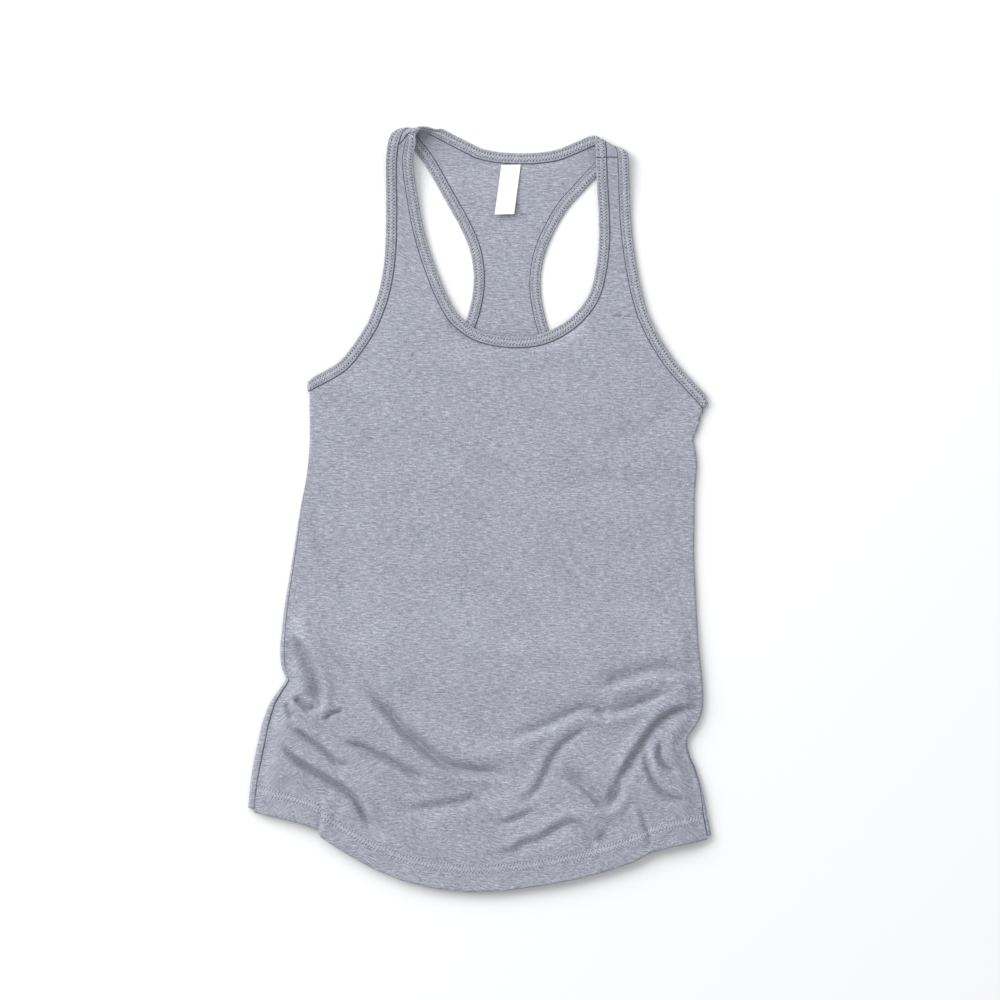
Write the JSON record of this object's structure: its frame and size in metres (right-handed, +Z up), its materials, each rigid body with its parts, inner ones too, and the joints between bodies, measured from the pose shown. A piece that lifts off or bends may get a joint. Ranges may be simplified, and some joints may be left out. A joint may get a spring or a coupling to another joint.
{
  "type": "tank top",
  "caption": "Women's racerback tank top of heather jersey with bound neck and armholes, laid flat with the front up.",
  "frame": {"origin": "middle of the garment's box on the surface it lies on", "axes": "+Y from hem to straps, +X towards the side that a viewer above sees on the right, +Z up out of the front panel"},
  "size_m": [0.4084, 0.6714, 0.0119],
  "materials": {
    "jersey": "grey heather jersey, matt, fine knit",
    "binding": "the same jersey, folded and coverstitched",
    "label": "white woven tape, plain"
  },
  "bodies": {
    "root": {"front_panel": "jersey", "back_panel": "jersey", "neck_binding": "binding", "armhole_binding_left": "binding", "armhole_binding_right": "binding", "neck_label": "label"}
  },
  "joints": []
}
